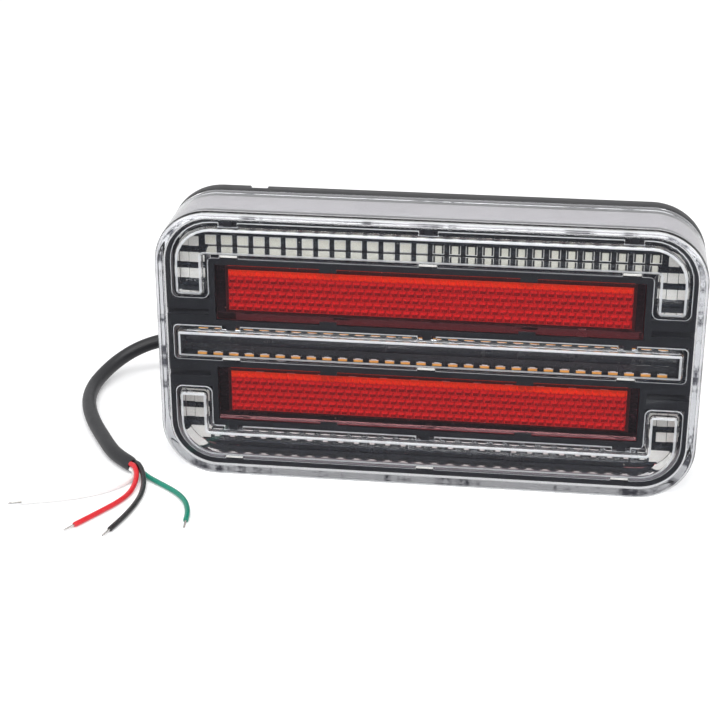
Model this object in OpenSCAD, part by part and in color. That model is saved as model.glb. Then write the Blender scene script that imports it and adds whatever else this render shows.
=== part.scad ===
// Trailer tail light: a sealed rectangular LED cluster with a clear cover, two C-shaped tail
// light guides, a straight indicator light guide, two red stop and reflector plates, rear studs
// and a short four-core cable with stripped ends.
// The origin is on the rear mounting face, midway between the two studs. +X is to the right seen
// from the front, +Z is up and the light shines along -Y. Depths are counted forwards from the
// rear face, and the light rests on its lower long side.

/* [Overall] */
// Width of the light
light_w = 192; // [160:1:230]
// Height of the light
light_h = 102; // [92:1:124]
// Depth from the rear face to the front of the cover
light_d = 30; // [28:0.5:36]
// Radius of the outline's corners
corner_r = 20; // [16:0.5:24]

/* [Clear cover] */
// Thickness of the cover's side wall
cover_wall = 3; // [2:0.1:3.6]
// Thickness of the cover's front wall
cover_front = 2.5; // [1.5:0.1:3]
// Rounding of the cover's front edge
cover_edge = 2; // [0.5:0.1:2.5]
// Thickness of the sealing bead under the cover's rim
seal_t = 0.8; // [0.4:0.1:1.5]

/* [Rear housing] */
// Thickness of the housing's floor
floor_t = 2.4; // [2:0.1:3]
// Height of the housing's outer rim
rim_d = 5; // [4:0.1:5.5]
// Height of the tongue that locates the cover
tongue_d = 4.5; // [3:0.1:6]
// Thickness of the tongue
tongue_t = 1.6; // [1.2:0.1:2]
// Thickness of the spacer frame that stands on the tongue
spacer_t = 1.2; // [0.8:0.1:1.4]
// Gap between pieces that slide into each other
fit_gap = 0.2; // [0.1:0.05:0.3]

/* [Bezel and light guides] */
// Gap between the bezel's front and the inside of the cover
bezel_drop = 2; // [1.5:0.1:3]
// Thickness of the bezel
bezel_t = 2; // [1.5:0.1:2.5]
// Gap between the spacer frame and the light guides' flanges
guide_gap = 0.6; // [0.6:0.05:1.5]
// Width of a light guide's flange
flange_w = 13.6; // [12:0.1:15]
// Width of a light guide's ridge
ridge_w = 10; // [8:0.1:11.5]
// Gap between a light guide's front and the inside of the cover
guide_front_gap = 0.2; // [0.1:0.05:0.5]
// How far a guide's lip reaches behind the bezel
lip_w = 0.5; // [0.3:0.05:0.6]
// Thickness of a guide's lip
lip_t = 1.2; // [0.8:0.1:2]
// Distance from the indicator guide's flange to the ends of the C-shaped guides
leg_gap = 10.3; // [7:0.1:12]
// Width of bezel between a flange and a red plate
land_w = 2.4; // [2:0.1:4]
// Width of a notch in the flanges for the bezel's hooks
notch_w = 6.5; // [4:0.1:8]
// Width of a hook
hook_w = 3; // [2:0.1:3.5]
// Distance from a leg's inner edge to the outer notches
notch_inset = 7.4; // [6:0.2:30]
// Width of the blind slots in the bezel
slot_w = 2.3; // [1.5:0.1:3]
// Depth of the blind slots in the bezel
slot_t = 1.2; // [0.5:0.1:1.4]

/* [Red plates] */
// Distance that a red plate's front lies behind the bezel's front
plate_drop = 0.5; // [0.2:0.1:1]
// Width of the plain border around the prisms
plate_border = 3.2; // [2:0.1:5]
// Height of the prism block behind the plate
prism_t = 1.6; // [1:0.1:3]
// Height of a row of prisms
prism_row_h = 2.4; // [2:0.05:3]
// Width of the tabs that hold the red plates
tab_w = 6; // [3:0.5:8]
// Distance from the middle to a tab
tab_x = 35; // [20:1:50]
// Thickness of the reflector pans' walls
pan_t = 1.2; // [0.8:0.1:1.6]

/* [Circuit board] */
// Gap between the housing's floor and the board
board_lift = 1.6; // [1.4:0.1:2]
// Thickness of the board
board_t = 1.6; // [1:0.1:1.8]
// Gap around the board
board_gap = 0.8; // [0.5:0.1:1.5]
// Side of a tail lamp
led_w = 3.6; // [2.8:0.1:4.2]
// Side of a stop lamp
stop_led_w = 2.8; // [2:0.1:3.5]
// Height of a lamp's package
led_t = 0.7; // [0.5:0.05:0.8]
// Height of the phosphor in a package
phosphor_t = 0.1; // [0.05:0.01:0.15]
// Distance between tail lamps along the long arms
arm_pitch = 5.78; // [5.2:0.01:7]
// Distance between tail lamps along the legs
leg_pitch = 6.1; // [5.2:0.1:7]
// Distance that the upper arm's lamps sit from the arm's middle, towards the light's middle
upper_shift = 3; // [0:0.1:3.2]
// Distance that the lower arm's lamps sit from the arm's middle, towards the light's middle
lower_shift = 0; // [0:0.1:3.2]
// Height of the tail lamps' raised strips above the main board
strip_lift = 4.1; // [3:0.1:6]
// Thickness of a raised strip
strip_t = 1; // [0.8:0.1:1.6]
// Distance between indicator lamps
bar_pitch = 5.72; // [5.2:0.01:7]
// Distance between stop lamps
stop_pitch = 11.5; // [10:0.1:14]

/* [Rear fixings and cable] */
// Distance from each end of the light to its stud
stud_inset = 20; // [17:1:34]
// Radius of a stud
stud_r = 2.5; // [2:0.1:3]
// Length of a stud behind the light
stud_l = 18; // [12:1:30]
// Radius of a stud's head
stud_head_r = 6; // [5:0.1:8]
// Sideways place of the cable gland
gland_x = -46; // [-52:1:-40]
// Height of the cable gland
gland_z = -20; // [-24:1:-16]
// Length of the gland behind the light
gland_l = 14; // [12:1:20]
// Diameter of the cable's jacket
jacket_dia = 5.5; // [4:0.1:6.5]
// Diameter of an insulated wire
wire_dia = 1.9; // [1.4:0.1:2]
// Length of bare conductor on each wire
strip_l = 5; // [3:0.5:8]

/* [Hidden] */
$fn = 48;

eps = 0.01;
half_w = light_w / 2;
half_h = light_h / 2;

// Depths, counted forwards from the rear face
board_back = floor_t + board_lift;
board_front = board_back + board_t;
led_top = board_front + led_t;
phosphor_top = led_top + phosphor_t;
bar_guide_back = phosphor_top + fit_gap;
strip_back = board_front + strip_lift;
strip_front = strip_back + strip_t;
strip_led_top = strip_front + led_t;
c_guide_back = strip_led_top + phosphor_t + fit_gap;
tongue_top = rim_d + tongue_d;
cover_inside = light_d - cover_front;
guide_front = cover_inside - guide_front_gap;
bezel_front = cover_inside - bezel_drop;
bezel_back = bezel_front - bezel_t;
lip_back = bezel_back - lip_t;
plate_front = bezel_front - plate_drop;
prism_back = lip_back - prism_t;
pan_back = board_front + led_t + 2 * fit_gap;
pan_front = prism_back - fit_gap;

// Outlines, measured in from the light's own outline
inner_inset = cover_wall + fit_gap;
board_inset = inner_inset + tongue_t + board_gap;
spacer_inset = inner_inset + spacer_t;
guide_inset = spacer_inset + guide_gap;
ridge_margin = (flange_w - ridge_w) / 2;

// Edges of the guides and plates, measured from the middle of the light
arm_out_z = half_h - guide_inset;
arm_in_z = arm_out_z - flange_w;
arm_mid_z = arm_out_z - flange_w / 2;
leg_out_x = half_w - guide_inset;
leg_in_x = leg_out_x - flange_w;
leg_mid_x = leg_out_x - flange_w / 2;
leg_end_z = flange_w / 2 + leg_gap;
notch_x = leg_in_x - notch_inset;
stud_x = half_w - stud_inset;
plate_half_w = leg_in_x - land_w;
plate_low = flange_w / 2 + land_w;
plate_high = arm_in_z - land_w;
plate_mid = (plate_low + plate_high) / 2;
plate_h = plate_high - plate_low;
prism_half_w = plate_half_w - plate_border - 0.8;
prism_h = plate_h - 2 * plate_border + 0.8;
slot_z = (flange_w / 2 + leg_end_z) / 2;

// Lamps
led_corner = 6;
arm_count = floor(2 * (leg_mid_x - led_corner) / arm_pitch) + 1;
upper_leg_drop = led_w + fit_gap;
lower_leg_drop = upper_leg_drop + led_w;
leg_margin = 0.5;
leg_room = arm_mid_z - lower_leg_drop - leg_end_z - ridge_margin - leg_margin;
leg_count = floor(leg_room / leg_pitch) + 1;
bar_margin = 5.5;
bar_count = floor(2 * (leg_out_x - ridge_margin - bar_margin) / bar_pitch) + 1;
stop_margin = 6;
stop_first = ceil((-prism_half_w + stop_margin - gland_x) / stop_pitch - 0.5);
stop_last = floor((prism_half_w - stop_margin - gland_x) / stop_pitch - 0.5);
phosphor_share = 0.7;
pad_t = 0.3;

// Raised strips
strip_margin = 1;
pillar_r = 1.5;
pillar_x = 28;

// Rear parts
stud_head_t = 1.2;
stud_neck_r = stud_r + 0.6;
stud_gap = 0.05;
gland_neck_r = 4;
gland_flange_r = 6.5;
gland_flange_t = 2.5;
gland_ring_r = 5.6;
gland_ring_t = board_lift - 2 * fit_gap;
screw_x = 57.5;
screw_r = 1.2;
screw_head_r = 2.3;
boss_r = 3.2;
lead_r = 0.45;
lead_step = 1.3;

// Cable route: out of the gland, round behind the light's left end and onto the table
JACKET = [[gland_x, gland_l, gland_z], [-46, 25, -20], [-48, 36, -21.3], [-54, 46, -24],
    [-64, 54, -27], [-76, 59, -30.5], [-90, 61, -33.5], [-104, 61.5, -36], [-118, 59.5, -38.5],
    [-126.3, 56.3, -41], [-132.8, 51, -44], [-137.2, 42.5, -46.5], [-139, 32, -48],
    [-137, 18.5, -48.2], [-131.5, 4, -48.2], [-123.5, -11, -48.2], [-116, -23, -48.2],
    [-107, -32, -48.2]];
WHITE = [[-107.7, -32.7, -49.2], [-106, -34.4, -49.2], [-105.6, -38, -49.8], [-107.6, -42.6, -50],
    [-112, -48, -50], [-118, -52.4, -50], [-124.5, -55.7, -50], [-132.5, -58.6, -50],
    [-140.5, -61, -50]];
RED = [[-107.7, -32.7, -47.2], [-105.9, -34.5, -47.2], [-104.1, -38.6, -48.2], [-103.6, -44.4, -49.4],
    [-104.4, -50.5, -50], [-106.8, -57, -50], [-110.6, -63.6, -50], [-114.2, -69.4, -50],
    [-117.6, -74.8, -50]];
BLACK = [[-106.3, -31.3, -47.2], [-104.3, -33.3, -47.2], [-102, -37.6, -48.3], [-100.4, -43.4, -49.4],
    [-99.8, -50, -50], [-100.2, -57.4, -50], [-101.4, -64.6, -50], [-103, -71, -50],
    [-104.6, -76.4, -50]];
GREEN = [[-106.3, -31.3, -49.2], [-104.2, -33.4, -49.2], [-100.6, -36.6, -49.8], [-96, -40.2, -50],
    [-91.4, -43.8, -50], [-87, -47.8, -50], [-83.4, -52.6, -50], [-81.2, -58, -50],
    [-80.2, -62.6, -50], [-79.8, -67, -50]];

// ---------------------------------------------------------------- helpers

// Stands a flat X-Z shape between two depths in front of the rear face
module slab(d0, d1) {
    rotate([90, 0, 0])
        translate([0, 0, d0])
            linear_extrude(d1 - d0)
                children();
}

// Places a shape that is drawn along its own +Z so that it points to the front
module forwards(x, z, d) {
    translate([x, -d, z])
        rotate([90, 0, 0])
            children();
}

module rounded_rect(w, h, r) {
    square([w - 2 * r, h], center = true);
    square([w, h - 2 * r], center = true);
    for (x = [-1, 1], y = [-1, 1])
        translate([x * (w / 2 - r), y * (h / 2 - r)])
            circle(r);
}

// The light's outline, moved inwards
module outline(inset) {
    rounded_rect(light_w - 2 * inset, light_h - 2 * inset, corner_r - inset);
}

module band(outer, inner) {
    difference() {
        outline(outer);
        outline(inner);
    }
}

// A C-shaped strip that follows the upper half of the outline
module channel(inset, w, end_z) {
    difference() {
        intersection() {
            outline(inset);
            translate([-half_w, end_z])
                square([light_w, half_h]);
        }
        translate([-half_w + inset + w, 0])
            square([light_w - 2 * (inset + w), half_h - inset - w]);
    }
}

module bar(inset, w) {
    square([light_w - 2 * inset, w], center = true);
}

// The window that one red plate fills
module plate_window(grow) {
    translate([0, plate_mid])
        square([2 * (plate_half_w + grow), plate_h + 2 * grow], center = true);
}

module prism_field(grow) {
    translate([0, plate_mid])
        square([2 * (prism_half_w + grow), prism_h + 2 * grow], center = true);
}

// Notches or hooks at three places on both long sides of a strip centred on a height. They reach
// from just outside the flange's edge to a given distance inside it.
module hook_places(mid_z, w, reach) {
    root = 2 * fit_gap;
    for (x = [-1, 0, 1], side = [-1, 1])
        translate([x * notch_x, mid_z + side * (flange_w + root - reach) / 2])
            square([w, reach + root], center = true);
}

module both_halves() {
    children();
    mirror([0, 0, 1])
        children();
}

// ---------------------------------------------------------------- lamps

function arm_x(i) = (i - (arm_count - 1) / 2) * arm_pitch;
function leg_z(i, drop) = arm_mid_z - drop - i * leg_pitch;
function bar_x(i) = (i - (bar_count - 1) / 2) * bar_pitch;
function stop_x(i) = gland_x + (i + 0.5) * stop_pitch;

module chip_block(side, t) {
    translate([-side / 2, -side / 2, 0])
        cube([side, side, t]);
}

module at_tail_lamps(d, shift, drop) {
    for (i = [0 : arm_count - 1])
        forwards(arm_x(i), arm_mid_z - shift, d)
            children();
    for (i = [0 : leg_count - 1], side = [-1, 1])
        forwards(side * leg_mid_x, leg_z(i, drop), d)
            children();
}

module at_upper_lamps(d) {
    at_tail_lamps(d, upper_shift, upper_leg_drop)
        children();
}

// The lower half is mirrored into place, so its lamps are set out in the upper half
module at_lower_lamps(d) {
    mirror([0, 0, 1])
        at_tail_lamps(d, lower_shift, lower_leg_drop)
            children();
}

module at_bar_lamps(d) {
    for (i = [0 : bar_count - 1])
        forwards(bar_x(i), 0, d)
            children();
}

module at_stop_lamps(d) {
    for (i = [stop_first : stop_last])
        forwards(stop_x(i), plate_mid, d)
            children();
}

// ---------------------------------------------------------------- outer parts

module rear_housing() {
    color([0.09, 0.09, 0.10])
        difference() {
            union() {
                slab(0, floor_t)
                    outline(0);
                slab(floor_t - eps, rim_d)
                    band(0, inner_inset + tongue_t);
                slab(rim_d - eps, tongue_top)
                    band(inner_inset, inner_inset + tongue_t);
                for (x = [-1, 1], z = [-1, 1])
                    forwards(x * screw_x, z * plate_mid, floor_t - eps)
                        cylinder(r = boss_r, h = board_lift + eps);
            }
            for (x = [-1, 1])
                forwards(x * stud_x, 0, 0) {
                    translate([0, 0, -1])
                        cylinder(r = stud_neck_r + stud_gap, h = floor_t + 2);
                    translate([0, 0, floor_t - stud_head_t])
                        cylinder(r = stud_head_r + stud_gap, h = stud_head_t + 1);
                }
            for (x = [-1, 1], z = [-1, 1])
                forwards(x * screw_x, z * plate_mid, floor_t - 1.6)
                    cylinder(r = screw_r + stud_gap, h = board_lift + 2);
            forwards(gland_x, gland_z, -1)
                cylinder(r = gland_neck_r + stud_gap, h = floor_t + 2);
            // Small pry notch in the top edge of the rear rim
            translate([-66, -2.2, half_h - 1.2])
                cube([6, 3, 3]);
        }
}

module mounting_studs() {
    color("silver")
        for (x = [-1, 1])
            forwards(x * stud_x, 0, 0) {
                translate([0, 0, -stud_l])
                    cylinder(r = stud_r, h = stud_l + eps);
                cylinder(r = stud_neck_r, h = floor_t - stud_head_t + eps);
                translate([0, 0, floor_t - stud_head_t])
                    cylinder(r = stud_head_r, h = stud_head_t);
            }
}

module cable_gland() {
    color([0.06, 0.06, 0.06])
        translate([gland_x, 0, gland_z])
            rotate([-90, 0, 0])
                difference() {
                    union() {
                        translate([0, 0, -floor_t])
                            cylinder(r = gland_neck_r, h = floor_t + eps);
                        cylinder(r = gland_flange_r, h = gland_flange_t);
                        translate([0, 0, gland_flange_t - eps])
                            cylinder(r1 = gland_flange_r - 1.5, r2 = jacket_dia / 2 + 0.9,
                                h = gland_l - gland_flange_t + eps);
                    }
                    for (i = [0 : 2])
                        translate([0, 0, gland_flange_t + 2 + 3 * i])
                            difference() {
                                cylinder(r = gland_flange_r, h = 1.1);
                                translate([0, 0, -1])
                                    cylinder(r = jacket_dia / 2 + 0.5, h = 4);
                            }
                }
}

// Push-on ring that holds the gland on the inside of the floor
module gland_ring() {
    color("dimgray")
        forwards(gland_x, gland_z, floor_t)
            cylinder(r = gland_ring_r, h = gland_ring_t);
}

module sealing_bead() {
    color([0.14, 0.14, 0.14])
        slab(rim_d, rim_d + seal_t)
            band(0.4, inner_inset);
}

// Quarter-round corner section of the cover, from its axis outwards
module cover_profile() {
    length = light_d - rim_d - seal_t;
    square([corner_r, length - cover_edge]);
    square([corner_r - cover_edge, length]);
    translate([corner_r - cover_edge, length - cover_edge])
        circle(cover_edge);
}

module cover_block() {
    length = light_d - rim_d - seal_t;
    core_w = light_w - 2 * corner_r;
    core_h = light_h - 2 * corner_r;
    translate([-core_w / 2, -core_h / 2, 0])
        cube([core_w, core_h, length]);
    for (x = [0, 1], y = [0, 1])
        mirror([x, 0, 0])
            mirror([0, y, 0])
                translate([core_w / 2, core_h / 2, 0])
                    rotate_extrude(angle = 90)
                        cover_profile();
    for (x = [0, 1])
        mirror([x, 0, 0])
            translate([core_w / 2, core_h / 2, 0])
                rotate([90, 0, 0])
                    linear_extrude(core_h)
                        cover_profile();
    for (y = [0, 1])
        mirror([0, y, 0])
            translate([-core_w / 2, core_h / 2, 0])
                rotate([90, 0, 90])
                    linear_extrude(core_w)
                        cover_profile();
}

module front_cover() {
    color([0.85, 0.88, 0.90, 0.3])
        difference() {
            forwards(0, 0, rim_d + seal_t)
                cover_block();
            slab(0, cover_inside)
                outline(cover_wall);
        }
}

module bezel() {
    color([0.20, 0.21, 0.22])
        difference() {
            slab(bezel_back, bezel_front)
                difference() {
                    outline(inner_inset);
                    for (side = [0, 1])
                        mirror([0, side]) {
                            difference() {
                                channel(guide_inset - fit_gap, flange_w + 2 * fit_gap, leg_end_z - fit_gap);
                                hook_places(arm_mid_z, hook_w, ridge_margin - fit_gap);
                            }
                            difference() {
                                plate_window(fit_gap);
                                plate_tabs(plate_high);
                                plate_tabs(plate_low);
                            }
                        }
                    difference() {
                        bar(guide_inset - fit_gap, flange_w + 2 * fit_gap);
                        hook_places(0, hook_w, ridge_margin - fit_gap);
                    }
                }
            for (x = [0, 1], z = [0, 1])
                mirror([x, 0, 0])
                    mirror([0, 0, z])
                        slab(bezel_front - slot_t, light_d)
                            translate([leg_in_x + 0.4, slot_z - slot_w / 2])
                                square([flange_w + 1.5, slot_w]);
            slab(0, plate_front)
                both_plate_tabs();
        }
}

// Tabs on a window's long side, reaching over the plate's border
module plate_tabs(z) {
    for (x = [-1, 1])
        translate([x * tab_x, z])
            square([tab_w, 2.2], center = true);
}

module both_plate_tabs() {
    for (side = [0, 1], z = [plate_low, plate_high])
        mirror([0, side])
            intersection() {
                plate_tabs(z);
                plate_window(fit_gap);
            }
}

module spacer_frame() {
    color([0.86, 0.86, 0.85])
        slab(tongue_top, bezel_back)
            band(inner_inset, spacer_inset);
}

// ---------------------------------------------------------------- light guides and red plates

module c_light_guide() {
    color([0.90, 0.93, 0.95, 0.4])
        union() {
            slab(c_guide_back, guide_front)
                channel(guide_inset + ridge_margin, ridge_w, leg_end_z + ridge_margin);
            slab(lip_back, bezel_back)
                channel(guide_inset - lip_w, flange_w + 2 * lip_w, leg_end_z - lip_w);
            slab(bezel_back - eps, bezel_front)
                difference() {
                    channel(guide_inset, flange_w, leg_end_z);
                    hook_places(arm_mid_z, notch_w, ridge_margin);
                }
        }
}

module upper_light_guide() {
    c_light_guide();
}

module lower_light_guide() {
    mirror([0, 0, 1])
        c_light_guide();
}

module indicator_light_guide() {
    color([0.90, 0.93, 0.95, 0.4])
        union() {
            slab(bar_guide_back, guide_front)
                bar(guide_inset + ridge_margin, ridge_w);
            slab(lip_back, bezel_back)
                bar(guide_inset - lip_w, flange_w + 2 * lip_w);
            slab(bezel_back - eps, bezel_front)
                difference() {
                    bar(guide_inset, flange_w);
                    hook_places(0, notch_w, ridge_margin);
                }
        }
}

// Grooves that split the back of a plate into rows of prisms
module row_grooves() {
    groove = 0.4;
    rows = floor(prism_h / prism_row_h);
    row_h = prism_h / rows;
    for (i = [1 : rows - 1])
        translate([0, plate_mid - prism_h / 2 + i * row_h])
            square([2 * prism_half_w + 2, groove], center = true);
}

module red_plate() {
    color([0.75, 0.05, 0.06, 0.7])
        union() {
            slab(bezel_back - eps, plate_front)
                plate_window(0);
            slab(lip_back, bezel_back)
                plate_window(lip_w);
            slab(prism_back, lip_back + eps)
                difference() {
                    prism_field(0);
                    row_grooves();
                }
        }
}

module upper_red_plate() {
    red_plate();
}

module lower_red_plate() {
    mirror([0, 0, 1])
        red_plate();
}

// Open tray that throws the stop lamps' light forwards through a red plate
module reflector_pan() {
    color([0.88, 0.87, 0.85])
        difference() {
            slab(pan_back, pan_front)
                prism_field(pan_t);
            slab(pan_back + pan_t, pan_front + 1)
                prism_field(0);
            at_stop_lamps(pan_back - 1)
                chip_block(stop_led_w + 1, pan_t + 2);
        }
}

module upper_reflector_pan() {
    reflector_pan();
}

module lower_reflector_pan() {
    mirror([0, 0, 1])
        reflector_pan();
}

// ---------------------------------------------------------------- board and lamps

module lead_places(d) {
    for (x = [-1, 1], z = [-1, 1])
        forwards(gland_x + x * lead_step, gland_z + z * lead_step, d)
            children();
}

module circuit_board() {
    color([0.05, 0.06, 0.07])
        difference() {
            slab(board_back, board_front)
                outline(board_inset);
            for (x = [-1, 1], z = [-1, 1])
                forwards(x * screw_x, z * plate_mid, 0)
                    cylinder(r = screw_r + fit_gap, h = light_d);
            lead_places(0)
                cylinder(r = lead_r + stud_gap, h = light_d);
        }
}

module board_screws() {
    color("silver")
        for (x = [-1, 1], z = [-1, 1])
            forwards(x * screw_x, z * plate_mid, 0)
                difference() {
                    union() {
                        translate([0, 0, floor_t - 1.4])
                            cylinder(r = screw_r, h = board_front - floor_t + 1.5);
                        translate([0, 0, board_front])
                            cylinder(r = screw_head_r, h = 0.9);
                    }
                    for (turn = [0, 90])
                        rotate([0, 0, turn])
                            translate([-1.4, -0.3, board_front + 0.4])
                                cube([2.8, 0.6, 1]);
                }
}

// Narrow second boards that lift the tail lamps closer to the front
module lamp_strips() {
    color([0.05, 0.06, 0.07])
        both_halves()
            slab(strip_back, strip_front)
                channel(guide_inset + strip_margin, flange_w - 2 * strip_margin, leg_end_z);
}

// Soldered pillars that carry the strips and feed them from the main board
module strip_pillars() {
    color("goldenrod")
        both_halves() {
            for (i = [-2 : 2])
                forwards(i * pillar_x, arm_mid_z, board_front)
                    cylinder(r = pillar_r, h = strip_lift);
            for (side = [-1, 1])
                forwards(side * leg_mid_x, leg_end_z + 2 * strip_margin + pillar_r, board_front)
                    cylinder(r = pillar_r, h = strip_lift);
        }
}

module upper_tail_leds() {
    color([0.86, 0.86, 0.84])
        at_upper_lamps(strip_front)
            chip_block(led_w, led_t);
}

module lower_tail_leds() {
    color([0.86, 0.86, 0.84])
        at_lower_lamps(strip_front)
            chip_block(led_w, led_t);
}

module indicator_leds() {
    color([0.86, 0.86, 0.84])
        at_bar_lamps(board_front)
            chip_block(led_w, led_t);
}

module stop_leds() {
    color([0.86, 0.86, 0.84])
        at_stop_lamps(board_front)
            chip_block(stop_led_w, led_t);
}

module upper_stop_leds() {
    stop_leds();
}

module lower_stop_leds() {
    mirror([0, 0, 1])
        stop_leds();
}

module upper_tail_phosphors() {
    color([0.93, 0.84, 0.45])
        at_upper_lamps(strip_led_top)
            chip_block(led_w * phosphor_share, phosphor_t);
}

module lower_tail_phosphors() {
    color([0.93, 0.84, 0.45])
        at_lower_lamps(strip_led_top)
            chip_block(led_w * phosphor_share, phosphor_t);
}

module indicator_phosphors() {
    color([0.95, 0.50, 0.12])
        at_bar_lamps(led_top)
            chip_block(led_w * phosphor_share, phosphor_t);
}

module stop_phosphors() {
    color([0.85, 0.25, 0.15])
        both_halves()
            at_stop_lamps(led_top)
                chip_block(stop_led_w * phosphor_share, phosphor_t);
}

// White wings on both sides of a leg's lamps, inside the spacer frame. The corner lamp has no wing
// on its inner side, where the arm's last lamp is
module leg_pads(drop) {
    wing_w = (ridge_w - led_w) / 2 - fit_gap;
    slab(strip_front, strip_front + pad_t)
        intersection() {
            outline(spacer_inset + fit_gap);
            for (i = [0 : leg_count - 1], side = [-1, 1], wing = [-1, 1])
                if (i > 0 || wing == side)
                    translate([side * leg_mid_x + wing * (ridge_w - wing_w) / 2, leg_z(i, drop)])
                        square([wing_w, led_w], center = true);
        }
}

module upper_reflector_pads() {
    color([0.92, 0.92, 0.90])
        leg_pads(upper_leg_drop);
}

module lower_reflector_pads() {
    color([0.92, 0.92, 0.90])
        mirror([0, 0, 1])
            leg_pads(lower_leg_drop);
}

// ---------------------------------------------------------------- small electronics

// The strip of board between the indicator guide and a reflector pan
strip_z = (ridge_w / 2 + plate_mid - prism_h / 2 - pan_t) / 2;
chip_x = 30;
chip_w = 4.9;
chip_h = 3;
chip_t = 1.4;
chip_leg_t = 0.3;
can_x = 54;
diode_x = 64;

// A block on the front of the board, centred on its place
module board_block(x, z, w, h, t, lift = 0) {
    forwards(x, z, board_front + lift)
        translate([-w / 2, -h / 2, 0])
            cube([w, h, t]);
}

module driver_chips() {
    color([0.1, 0.1, 0.1])
        for (side = [-1, 1])
            board_block(side * chip_x, side * strip_z, chip_w, chip_h, chip_t, chip_leg_t);
}

module chip_legs() {
    color("silver")
        for (side = [-1, 1], row = [-1, 1], i = [0 : 3])
            board_block(side * chip_x + (i - 1.5) * 1.27, side * strip_z + row * 1.6,
                0.4, 1.4, chip_leg_t);
}

module diodes() {
    color([0.12, 0.12, 0.12])
        for (side = [-1, 1])
            board_block(-side * diode_x, side * strip_z, 4.3, 2.6, 2.1);
}

module capacitors() {
    color("lightsteelblue")
        for (side = [-1, 1])
            forwards(side * can_x, side * strip_z, board_front)
                cylinder(r = 2, h = 5.4);
}

module resistors() {
    color([0.15, 0.15, 0.17])
        for (side = [-1, 1], i = [-3 : 3])
            board_block(-side * chip_x + side * i * 5.5, side * strip_z, 3.2, 1.6, 0.6);
}

// Bare ends of the cable's cores where they pass through the board
module inner_leads() {
    color("goldenrod")
        lead_places(floor_t + gland_ring_t)
            cylinder(r = lead_r, h = board_front - floor_t - gland_ring_t);
}

module solder_joints() {
    color("lightgray")
        lead_places(board_front)
            cylinder(r1 = 1, r2 = 0.45, h = 0.6);
}

// ---------------------------------------------------------------- cable

function unit(v) = v / norm(v);
function route_dir(p, i) = unit(p[min(i + 1, len(p) - 1)] - p[max(i - 1, 0)]);
function ring(p, i, r, n) =
    let (t = route_dir(p, i), side = unit(cross(t, [0, 0, 1])), up = cross(side, t))
    [for (k = [0 : n - 1]) p[i] + r * (cos(360 * k / n - 90) * side + sin(360 * k / n - 90) * up)];

// A tube swept along a route's own points
module tube(route, dia, n) {
    last = len(route) - 1;
    points = [for (i = [0 : last]) each ring(route, i, dia / 2, n)];
    walls = [for (i = [0 : last - 1], k = [0 : n - 1])
        [i * n + k, (i + 1) * n + k, (i + 1) * n + (k + 1) % n, i * n + (k + 1) % n]];
    caps = [[for (k = [0 : n - 1]) k], [for (k = [n - 1 : -1 : 0]) last * n + k]];
    polyhedron(points, concat(walls, caps));
}

module cable_jacket() {
    color([0.13, 0.13, 0.14])
        tube(JACKET, jacket_dia, 10);
}

module white_wire() {
    color([0.93, 0.93, 0.92])
        tube(WHITE, wire_dia, 8);
}

module red_wire() {
    color([0.85, 0.05, 0.06])
        tube(RED, wire_dia, 8);
}

module black_wire() {
    color([0.08, 0.08, 0.08])
        tube(BLACK, wire_dia, 8);
}

module green_wire() {
    color([0.02, 0.45, 0.33])
        tube(GREEN, wire_dia, 8);
}

// The stripped conductor beyond the end of each wire
module bare_ends() {
    color([0.75, 0.74, 0.70])
        for (route = [WHITE, RED, BLACK, GREEN]) {
            last = len(route) - 1;
            end = route[last];
            dir = route_dir(route, last);
            tube([end, end + dir * strip_l / 2, end + dir * strip_l], wire_dia * 0.42, 8);
        }
}

rear_housing();
mounting_studs();
cable_gland();
gland_ring();
sealing_bead();
front_cover();
bezel();
spacer_frame();
upper_light_guide();
lower_light_guide();
indicator_light_guide();
upper_red_plate();
lower_red_plate();
upper_reflector_pan();
lower_reflector_pan();
circuit_board();
board_screws();
lamp_strips();
strip_pillars();
upper_tail_leds();
lower_tail_leds();
indicator_leds();
upper_stop_leds();
lower_stop_leds();
upper_tail_phosphors();
lower_tail_phosphors();
indicator_phosphors();
stop_phosphors();
upper_reflector_pads();
lower_reflector_pads();
driver_chips();
chip_legs();
diodes();
capacitors();
resistors();
inner_leads();
solder_joints();
cable_jacket();
white_wire();
red_wire();
black_wire();
green_wire();
bare_ends();
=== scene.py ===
"""Trailer tail light: finishes, clear mouldings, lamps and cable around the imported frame."""
import math

import bmesh
import bpy
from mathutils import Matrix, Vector, noise


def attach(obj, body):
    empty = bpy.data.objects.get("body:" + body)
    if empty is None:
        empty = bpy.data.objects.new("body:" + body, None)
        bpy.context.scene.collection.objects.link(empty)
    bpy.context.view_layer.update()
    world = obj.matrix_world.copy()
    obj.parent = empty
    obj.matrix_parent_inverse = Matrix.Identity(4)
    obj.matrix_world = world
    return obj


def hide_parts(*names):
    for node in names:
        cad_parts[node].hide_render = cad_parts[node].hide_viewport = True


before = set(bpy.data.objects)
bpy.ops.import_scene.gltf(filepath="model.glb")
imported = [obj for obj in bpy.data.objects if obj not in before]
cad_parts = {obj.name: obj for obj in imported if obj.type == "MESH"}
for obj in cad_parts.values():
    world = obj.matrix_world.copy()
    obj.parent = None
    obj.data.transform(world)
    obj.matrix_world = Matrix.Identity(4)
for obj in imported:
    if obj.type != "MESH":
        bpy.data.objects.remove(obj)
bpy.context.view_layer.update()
MM = 0.001

# ------------------------------------------------------------------ sizes, in mm

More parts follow.
